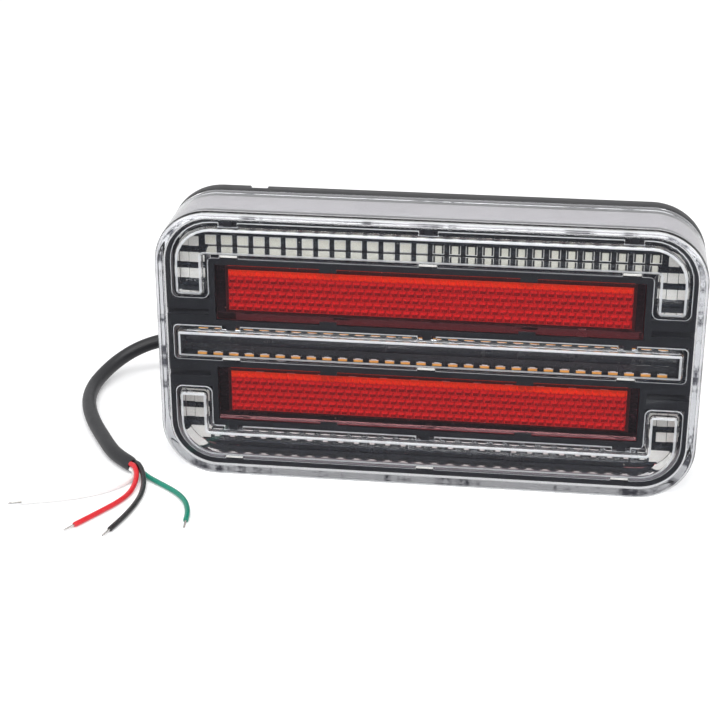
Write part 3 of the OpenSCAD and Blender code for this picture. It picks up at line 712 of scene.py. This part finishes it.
def flip(obj):
    """Mirrors a piece drawn for the upper half into the lower half."""
    bm = bmesh.new()
    bm.from_mesh(obj.data)
    bmesh.ops.scale(bm, vec=(1, 1, -1), verts=bm.verts)
    bmesh.ops.recalc_face_normals(bm, faces=bm.faces)
    bm.to_mesh(obj.data)
    bm.free()
    return obj


def c_guide(name):
    """Guide round the upper half: an arm along the top and a leg at each end."""
    gap = (FLANGE - RIDGE) / 2
    out_x, out_z, r = (size - GUIDE_MARGIN for size in (HALF_W, HALF_H, CORNER))
    ridge = c_corners(out_x - gap, out_z - gap, RIDGE, LEG_END + gap, r - gap, 0.8, 1.6, 0.0)
    flange = c_corners(out_x, out_z, FLANGE, LEG_END, r, 1.5, 2.6, gap)
    lip = c_corners(out_x + LIP_REACH, out_z + LIP_REACH, FLANGE + 2 * LIP_REACH,
                    LEG_END - LIP_REACH, r + LIP_REACH, 1, 2.6, 0.0)
    return guide(name, ridge, flange, lip, ARM_GUIDE_BACK)


def bar_guide(name):
    """Straight guide across the middle."""
    gap = (FLANGE - RIDGE) / 2
    half_w = HALF_W - GUIDE_MARGIN
    ridge = bar_corners(half_w - gap, RIDGE / 2, 1.0, 0.0)
    flange = bar_corners(half_w, FLANGE / 2, 1.8, gap)
    lip = bar_corners(half_w + LIP_REACH, FLANGE / 2 + LIP_REACH, 1.8, 0.0)
    return guide(name, ridge, flange, lip, BAR_GUIDE_BACK)


place(front_cover(), (CLEAR_COVER, COVER_EDGE_HIGHLIGHT), "clear_cover", "front_cover")
place(c_guide("upper_guide"), (CLEAR_GUIDE, GUIDE_EDGE_HIGHLIGHT), "clear_guide", "upper_light_guide")
place(flip(c_guide("lower_guide")), (CLEAR_GUIDE, GUIDE_EDGE_HIGHLIGHT), "clear_guide", "lower_light_guide")
place(bar_guide("indicator_guide"), (CLEAR_GUIDE, GUIDE_EDGE_HIGHLIGHT), "clear_guide", "indicator_light_guide")

# ------------------------------------------------------------------ red plates


def red_slab(name):
    """Smooth front and lip of a red plate."""
    half_h, steps = (PLATE_HIGH - PLATE_LOW) / 2, 3
    window = rectangle(PLATE_HALF_W, half_h, 0.4, PLATE_MID)
    lip = rectangle(PLATE_HALF_W + LIP_REACH, half_h + LIP_REACH, 0.4, PLATE_MID)
    rings = [(corner_ring(lip, 0, steps), LIP_BACK), (corner_ring(lip, 0, steps), BEZEL_BACK),
             (corner_ring(window, 0, steps), BEZEL_BACK)]
    rings += fillet(window, PLATE_FRONT, 0.3, 3, steps, 0.2)
    return build(name, loft(rings, second_finish=(0, 1, 2, 3)), 34)


def prism_block(name):
    """Rows of pillow-shaped prisms on one backing, half a prism out of step from row to row."""
    bm = bmesh.new()
    row_h, thinnest, joint = PRISM_H / PRISM_ROWS, 0.4, 0.06
    z0 = PLATE_MID - PRISM_H / 2
    front, foot = LIP_BACK - 0.05, PRISM_BACK + 0.4
    backing = rectangle(PRISM_HALF_W, PRISM_H / 2, 0.1, PLATE_MID)
    loft([(corner_ring(backing, 0, 1), PRISM_BACK), (corner_ring(backing, 0, 1), foot)], bm=bm)
    for row in range(PRISM_ROWS):
        offset = PRISM_W * 0.5 * (row % 2)
        for i in range(int(2 * PRISM_HALF_W // PRISM_W) + 2):
            x0 = -PRISM_HALF_W - PRISM_W + offset + i * PRISM_W
            x1 = min(x0 + PRISM_W, PRISM_HALF_W)
            x0 = max(x0, -PRISM_HALF_W)
            if x1 - x0 < thinnest:
                continue
            cx, cz = (x0 + x1) / 2, z0 + (row + 0.5) * row_h
            hw, hh = (x1 - x0) / 2 - joint, row_h / 2 - joint
            cell = [(cx + hw, cz - hh, 0), (cx + hw, cz + hh, 0), (cx - hw, cz + hh, 0),
                    (cx - hw, cz - hh, 0)]
            loft([(corner_ring(cell, 0, 0), foot - 0.05),
                  (corner_ring(cell, 0.0, 0), foot + 0.25),
                  (corner_ring(cell, min(hw, hh) * 0.45, 0), front)], False, True, bm)
    return build(name, bm, 20)


for name, low in (("upper", False), ("lower", True)):
    slab, prisms = red_slab(name + "_red_slab"), prism_block(name + "_prisms")
    if low:
        slab, prisms = flip(slab), flip(prisms)
    place(slab, (RED_PLATE, RED_SIDE), "red_clear", name + "_red_plate")
    place(prisms, PRISM, "red_clear")

# ------------------------------------------------------------------ opaque mouldings and small parts

# CAD nodes shown with eased edges: node, width of the easing, finish and slot
EASED = [
    ("rear_housing", 0.35, HOUSING, "housing_black"),
    ("bezel", 0.22, BEZEL, "bezel_grey"),
    ("spacer_frame", 0.1, SPACER, "spacer_pale"),
    ("circuit_board", 0.1, BOARD, "board_black"),
    ("lamp_strips", 0.1, BOARD, "board_black"),
    ("driver_chips", 0.15, CHIP, "chip_black"),
    ("diodes", 0.2, CHIP, "chip_black"),
    ("resistors", 0.08, CHIP, "chip_black"),
    ("chip_legs", 0.04, TINNED, "tinned_metal"),
    ("capacitors", 0.3, CAN, "capacitor_can"),
    ("board_screws", 0.08, STEEL, "screw_steel"),
    ("upper_stop_leds", 0.1, LAMP_WHITE, "lamp_white"),
    ("lower_stop_leds", 0.1, LAMP_WHITE, "lamp_white"),
    ("upper_reflector_pads", 0.08, PAD_WHITE, "pad_white"),
    ("lower_reflector_pads", 0.08, PAD_WHITE, "pad_white"),
    ("upper_reflector_pan", 0.15, PAN, "pan_white"),
    ("lower_reflector_pan", 0.15, PAN, "pan_white"),
]
for node, width, finish, slot in EASED:
    place(eased(node, width), finish, slot, node)

# Small nodes shown with the CAD's own meshes
for node, finish in (("gland_ring", RUBBER), ("stop_phosphors", GEL_RED),
                     ("inner_leads", TINNED), ("solder_joints", TINNED), ("strip_pillars", TINNED)):
    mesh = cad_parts[node].data
    mesh.materials.clear()
    mesh.materials.append(finish)


def stud(name, x):
    """M5 stud: rolled thread, chamfered tip, smooth root and its flat head in the floor."""
    bm = bmesh.new()
    steps, per_turn, pitch, depth, stud_r = 36, 8, 0.8, 0.42, 2.5
    thread_y, thread_length, taper_y, tip_y, tip_r = 1.2, 16.2, 17.0, 18.0, 1.8
    head = ((0.0, 2.5), (0.0, 3.1), (-1.2, 3.1), (-1.2, 5.9), (-1.3, 6.0), (-2.3, 6.0), (-2.4, 5.9))

    def ring(y, radii):
        return [bm.verts.new((x + r * math.cos(2 * math.pi * s / steps), y,
                              r * math.sin(2 * math.pi * s / steps)))
                for s, r in enumerate(radii)]

    rows = []
    for k in range(int(thread_length / pitch * per_turn) + 1):
        y = thread_y + k * pitch / per_turn
        full = min(1, (y - thread_y) / pitch)
        tapered = stud_r - max(0.0, y - taper_y) * 0.6
        phases = [(y / pitch - s / steps) % 1.0 for s in range(steps)]
        rows.append(ring(y, [min(stud_r - depth * (1 - abs(phase * 2 - 1)) * full, tapered)
                             for phase in phases]))
    rows.append(ring(tip_y, [tip_r] * steps))
    for y, r in head:
        rows.insert(0, ring(y, [r] * steps))
    return build(name, skin(bm, rows), 25)


for name, x in (("left_stud", -STUD_X), ("right_stud", STUD_X)):
    place(stud(name, x), STEEL, "stud_steel", "mounting_studs")


def sealing_bead():
    """Sealant in the seam, with a lumpy outer edge and one squeezed-out patch on the top side."""
    back, front, reach, spacing, corner_steps = 5.0, 5.55, 3.2, 1.2, 40
    patch_from, patch_to, patch_push = -38, -12, 0.75
    base = corner_ring(outline(), 0.0, corner_steps)
    round_it = []
    for a, b in zip(base, base[1:] + base[:1]):
        pieces = max(1, int((b - a).length / spacing))
        round_it += [a.lerp(b, k / pieces) for k in range(pieces)]
    sections = []
    for p in round_it:
        cx = max(-(HALF_W - CORNER), min(HALF_W - CORNER, p.x))
        cz = max(-(HALF_H - CORNER), min(HALF_H - CORNER, p.y))
        out = (p - Vector((cx, cz))).normalized()
        lump = noise.noise(Vector((p.x * 0.11, p.y * 0.11, 3.0)))
        patch = 0.0
        if p.y > HALF_H - 1 and patch_from < p.x < patch_to:
            rise = math.sin(math.pi * (p.x - patch_from) / (patch_to - patch_from))
            patch = patch_push * rise * (0.6 + 0.8 * abs(noise.noise(Vector((p.x * 0.35, 1, 5)))))
        push = -0.45 + 0.35 * max(0, lump) + patch
        spread = 0.35 * patch
        sections.append(((p - out * reach, back),
                         (p + out * min(push - 0.25, 0.3), back - spread),
                         (p + out * min(push, 0.9), 5.4 + 0.3 * lump),
                         (p + out * min(push - 0.2, 0.35), front + spread),
                         (p - out * reach, front)))
    bm = bmesh.new()
    loops = [[bm.verts.new((p.x, -d, p.y)) for p, d in loop] for loop in zip(*sections)]
    n = len(sections)
    for a, b in zip(loops, loops[1:] + loops[:1]):
        for i in range(n):
            j = (i + 1) % n
            bm.faces.new((a[i], a[j], b[j], b[i]))
    return build("seam_bead", bm, 60)


place(sealing_bead(), SEALANT, "sealant", "sealing_bead")


def rim_glow_sheet():
    """Pale sheet at the foot of the cover's wall, with a painted glow that its clear wall pipes to the
    front as painted light on the rim.
    """
    sections = ((0.5, 5.62), (0.5, 5.77), (2.9, 5.77), (2.9, 5.62))
    rings = [(corner_ring(outline(), inset, COVER_STEPS), d) for inset, d in sections]
    return build("rim_glow_film", loft(rings + rings[:1], False, False), 30)


# Painted light: the pale sheet and its glow brighten the cover's rim through the clear wall.
place(rim_glow_sheet(), rim_glow_white(), "sealant")

# ------------------------------------------------------------------ lamps


def grid_of(points):
    """A mesh of bare points that the lamp tree puts its packages on."""
    mesh = bpy.data.meshes.new("places")
    mesh.from_pydata([(x * MM, -d * MM, z * MM) for x, d, z in points], [], [])
    obj = bpy.data.objects.new("places", mesh)
    bpy.context.scene.collection.objects.link(obj)
    return obj


def package_tree():
    """Node tree that puts one lamp block on each point."""
    tree = bpy.data.node_groups.new("lamp_row", "GeometryNodeTree")
    tree.interface.new_socket("Geometry", in_out="INPUT", socket_type="NodeSocketGeometry")
    for title, value in (("Width", 3.6), ("Height", 3.6), ("Thickness", 0.7), ("Sideways", 0.0),
                         ("Upwards", 0.0)):
        socket = tree.interface.new_socket(title, in_out="INPUT", socket_type="NodeSocketFloat")
        socket.default_value = value
    tree.interface.new_socket("Finish", in_out="INPUT", socket_type="NodeSocketMaterial")
    tree.interface.new_socket("Geometry", in_out="OUTPUT", socket_type="NodeSocketGeometry")
    new, link = tree.nodes.new, tree.links.new
    given, result = new("NodeGroupInput"), new("NodeGroupOutput")

    def scaled(name, factor=MM):
        n = new("ShaderNodeMath")
        n.operation = "MULTIPLY"
        link(given.outputs[name], n.inputs[0])
        n.inputs[1].default_value = factor
        return n.outputs[0]

    size, shift = new("ShaderNodeCombineXYZ"), new("ShaderNodeCombineXYZ")
    for k, name in enumerate(("Width", "Thickness", "Height")):
        link(scaled(name), size.inputs[k])
    link(scaled("Sideways"), shift.inputs[0])
    link(scaled("Thickness", -MM / 2), shift.inputs[1])
    link(scaled("Upwards"), shift.inputs[2])
    block = new("GeometryNodeMeshCube")
    link(size.outputs[0], block.inputs["Size"])
    moved = new("GeometryNodeTransform")
    link(block.outputs["Mesh"], moved.inputs["Geometry"])
    link(shift.outputs[0], moved.inputs["Translation"])
    spread = new("GeometryNodeInstanceOnPoints")
    link(given.outputs["Geometry"], spread.inputs["Points"])
    link(moved.outputs["Geometry"], spread.inputs["Instance"])
    real, paint = new("GeometryNodeRealizeInstances"), new("GeometryNodeSetMaterial")
    link(spread.outputs["Instances"], real.inputs["Geometry"])
    link(real.outputs["Geometry"], paint.inputs["Geometry"])
    link(given.outputs["Finish"], paint.inputs["Material"])
    link(paint.outputs["Geometry"], result.inputs[0])
    return tree


LAMP_TREE = package_tree()


def lamp_blocks(name, points, finish, slot, width, height, thick, sideways=0.0, upwards=0.0,
                ease=0.08, nodes=()):
    """One plain mesh of blocks made by the lamp tree, with eased edges."""
    source = grid_of(points)
    modifier = source.modifiers.new("row", "NODES")
    modifier.node_group = LAMP_TREE
    values = {"Width": width, "Height": height, "Thickness": thick, "Sideways": sideways,
              "Upwards": upwards, "Finish": finish}
    for item in LAMP_TREE.interface.items_tree:
        if item.in_out == "INPUT" and item.name in values:
            modifier[item.identifier] = values[item.name]
    graph = bpy.context.evaluated_depsgraph_get()
    mesh = bpy.data.meshes.new_from_object(source.evaluated_get(graph))
    bpy.data.objects.remove(source)
    bm = bmesh.new()
    bm.from_mesh(mesh)
    bmesh.ops.scale(bm, vec=(1 / MM,) * 3, verts=bm.verts)
    if ease:
        bmesh.ops.bevel(bm, geom=bm.edges[:], offset=ease, segments=1, profile=0.5,
                        clamp_overlap=True, affect="EDGES")
    return place(build(name, bm, 40), finish, slot, *nodes)


def arm_points(front, z, indices=range(ARM_COUNT)):
    """Places of an arm's lamps, counted from the left."""
    return [((i - (ARM_COUNT - 1) / 2) * ARM_PITCH, front, z) for i in indices]


def leg_points(front, top, side=1):
    """Places of the lamps in a pair of legs; side is -1 for the lower pair."""
    return [(s * LEG_MID, front, side * (top - i * LEG_PITCH))
            for i in range(LEG_LAMPS) for s in (-1, 1)]


# Thickness of a package, of a thin one, and of the gels and frames on them
BODY, THIN_BODY, FACE = 0.6, 0.5, 0.12
upper_w, upper_h, upper_z = 4.0, 3.5, ARM_MID - UPPER_SHIFT
half = ARM_COUNT // 2
left, right = range(half), range(half, ARM_COUNT)
upper_legs = leg_points(STRIP_FRONT, UPPER_LEG_TOP)
lower_legs = leg_points(STRIP_FRONT, LOWER_LEG_TOP, -1)

# Left half of the upper arm: wide cream packages
lamp_blocks("upper_lamps_left", arm_points(STRIP_FRONT, upper_z, left), LAMP_WHITE,
            "lamp_white", upper_w, upper_h, BODY, nodes=("upper_tail_leds",))
lamp_blocks("upper_gels_left", arm_points(STRIP_FRONT + BODY, upper_z, left), GEL_CREAM,
            "phosphor_yellow", 3.5, 2.9, FACE, nodes=("upper_tail_phosphors",))
# Right half: dark packages with a narrow gel and a thin white frame on three sides
right_tops = arm_points(STRIP_FRONT + THIN_BODY, upper_z, right)
lamp_blocks("upper_lamps_right", arm_points(STRIP_FRONT, upper_z, right), CHIP, "lamp_white",
            upper_w, upper_h, THIN_BODY)
lamp_blocks("upper_gels_right", right_tops, GEL_CREAM, "phosphor_yellow", 2.3, 2.9, 0.2)
for name, sideways, upwards, width, height in (("left", -1.9, 0.0, 0.2, 3.3),
                                               ("right", 1.9, 0.0, 0.2, 3.3),
                                               ("foot", 0.0, -1.6, 3.9, 0.2)):
    lamp_blocks("upper_frame_" + name, right_tops, LAMP_WHITE, "lamp_white", width, height, 0.2,
                sideways, upwards, 0)

# Lower arm: dark packages with two stepped white faces
lower_z = -ARM_MID - 0.6
lower_tops = arm_points(STRIP_FRONT + THIN_BODY, lower_z)
lamp_blocks("lower_lamps", arm_points(STRIP_FRONT, lower_z), CHIP, "lamp_white", LAMP, LAMP,
            THIN_BODY, nodes=("lower_tail_leds",))
lamp_blocks("lower_gels", lower_tops, LAMP_WHITE, "phosphor_yellow", 1.8, 0.35, 0.15,
            upwards=-1.2, nodes=("lower_tail_phosphors",))
lamp_blocks("lower_frames", lower_tops, LAMP_WHITE, "lamp_white", 3.3, 0.4, 0.15, upwards=-0.75,
            ease=0)

# Both pairs of legs, and a pad in each lower corner
lamp_blocks("upper_leg_lamps", upper_legs, PAD_WHITE, "lamp_white", LAMP, LAMP, BODY)
lamp_blocks("lower_leg_lamps", lower_legs, PAD_WHITE, "lamp_white", LAMP, LAMP, BODY)
lamp_blocks("leg_gels", [(x, d + BODY, z) for x, d, z in upper_legs + lower_legs], PAD_WHITE,
            "phosphor_yellow", 3.2, 3.2, FACE)
pad_x, pad_z = 84.3, -39.6
lamp_blocks("corner_pads", [(s * pad_x, STRIP_FRONT, pad_z) for s in (-1, 1)], PAD_WHITE,
            "pad_white", 7.6, 4.6, 0.3)

# Indicator bar: dark packages with an amber gel and two thin white edges below it
bar = [((i - (BAR_COUNT - 1) / 2) * BAR_PITCH, BOARD_FRONT, 0.0) for i in range(BAR_COUNT)]
bar_tops = [(x, d + BODY, z) for x, d, z in bar]
lamp_blocks("indicator_lamps", bar, CHIP, "lamp_white", LAMP, LAMP, BODY, nodes=("indicator_leds",))
lamp_blocks("indicator_gels", bar_tops, GEL_AMBER, "phosphor_amber", 3.3, 1.7, FACE,
            upwards=-0.35, nodes=("indicator_phosphors",))
lamp_blocks("indicator_edges", bar_tops, LAMP_WHITE, "lamp_white", 3.5, 0.25, FACE,
            upwards=-1.35, ease=0)
lamp_blocks("indicator_heads", bar_tops, LAMP_WHITE, "lamp_white", 2.0, 0.25, FACE,
            upwards=-1.65, ease=0)

# White blocks in the flanges' notches, just below each ridge: a painted highlight on the clear guides'
# faces there
highlight_w, highlight_h, drop = 6.2, 0.8, 0.75
highlight_places = [(x, BEZEL_FRONT + 0.02, mid - RIDGE / 2 - drop)
          for x, half_gap in NOTCHES for mid in (ARM_MID, 0.0, -ARM_MID)]
lamp_blocks("notch_highlights", highlight_places, PAD_WHITE, "clear_guide", highlight_w, highlight_h, 0.25)

# ------------------------------------------------------------------ floor and light


def floor():
    """The white floor that the light stands on."""
    bm = bmesh.new()
    bmesh.ops.create_grid(bm, x_segments=1, y_segments=1, size=3000)
    bmesh.ops.translate(bm, vec=(0, 0, -HALF_H - 0.05), verts=bm.verts)
    obj = build("floor", bm)
    obj.data.materials.append(floor_paper())
    obj.visible_glossy = False
    obj.visible_transmission = False


def soft_box(name, at, width, height, power):
    """An area lamp that faces the origin."""
    light = bpy.data.lights.new(name, "AREA")
    light.shape, light.size, light.size_y, light.energy = "RECTANGLE", width, height, power
    obj = bpy.data.objects.new(name, light)
    bpy.context.scene.collection.objects.link(obj)
    obj.location = at
    obj.rotation_euler = (-Vector(at)).to_track_quat("-Z", "Y").to_euler()


floor()
soft_box("over", (0.0, -0.20, 0.9), 0.9, 0.35, 3.0)
soft_box("front_over", (0.1, -0.85, 0.80), 0.9, 0.35, 5.0)
soft_box("left_front", (-0.95, -0.65, 0.35), 0.3, 0.7, 2.0)
soft_box("right_front", (1.0, -0.45, 0.30), 0.3, 0.7, 1.2)


def studio_world():
    """A pale tent with a dark opening in front, so that gloss facing it stays clear."""
    f = Finish("studio", bpy.data.worlds)
    bpy.context.scene.world = f.owner
    opening = Vector((-0.11, -0.90, -0.42)).normalized()
    stops = [(0.0, (0.95, 0.95, 0.96)), (0.50, (0.90, 0.91, 0.93)), (0.66, (0.55, 0.56, 0.59)),
             (0.80, (0.20, 0.20, 0.22)), (1.0, (0.15, 0.15, 0.165))]
    way = f.node("ShaderNodeTexCoord", out="Generated")
    facing = f.node("ShaderNodeVectorMath", {"operation": "DOT_PRODUCT"}, {0: way, 1: opening},
                    out="Value")
    tone = f.node("ShaderNodeValToRGB", {"stops": stops}, {0: facing})
    tent = f.node("ShaderNodeBackground", {}, {"Color": tone, "Strength": 0.85})
    f.done(tent, "ShaderNodeOutputWorld")


studio_world()
bpy.context.scene.view_settings.view_transform = "Standard"
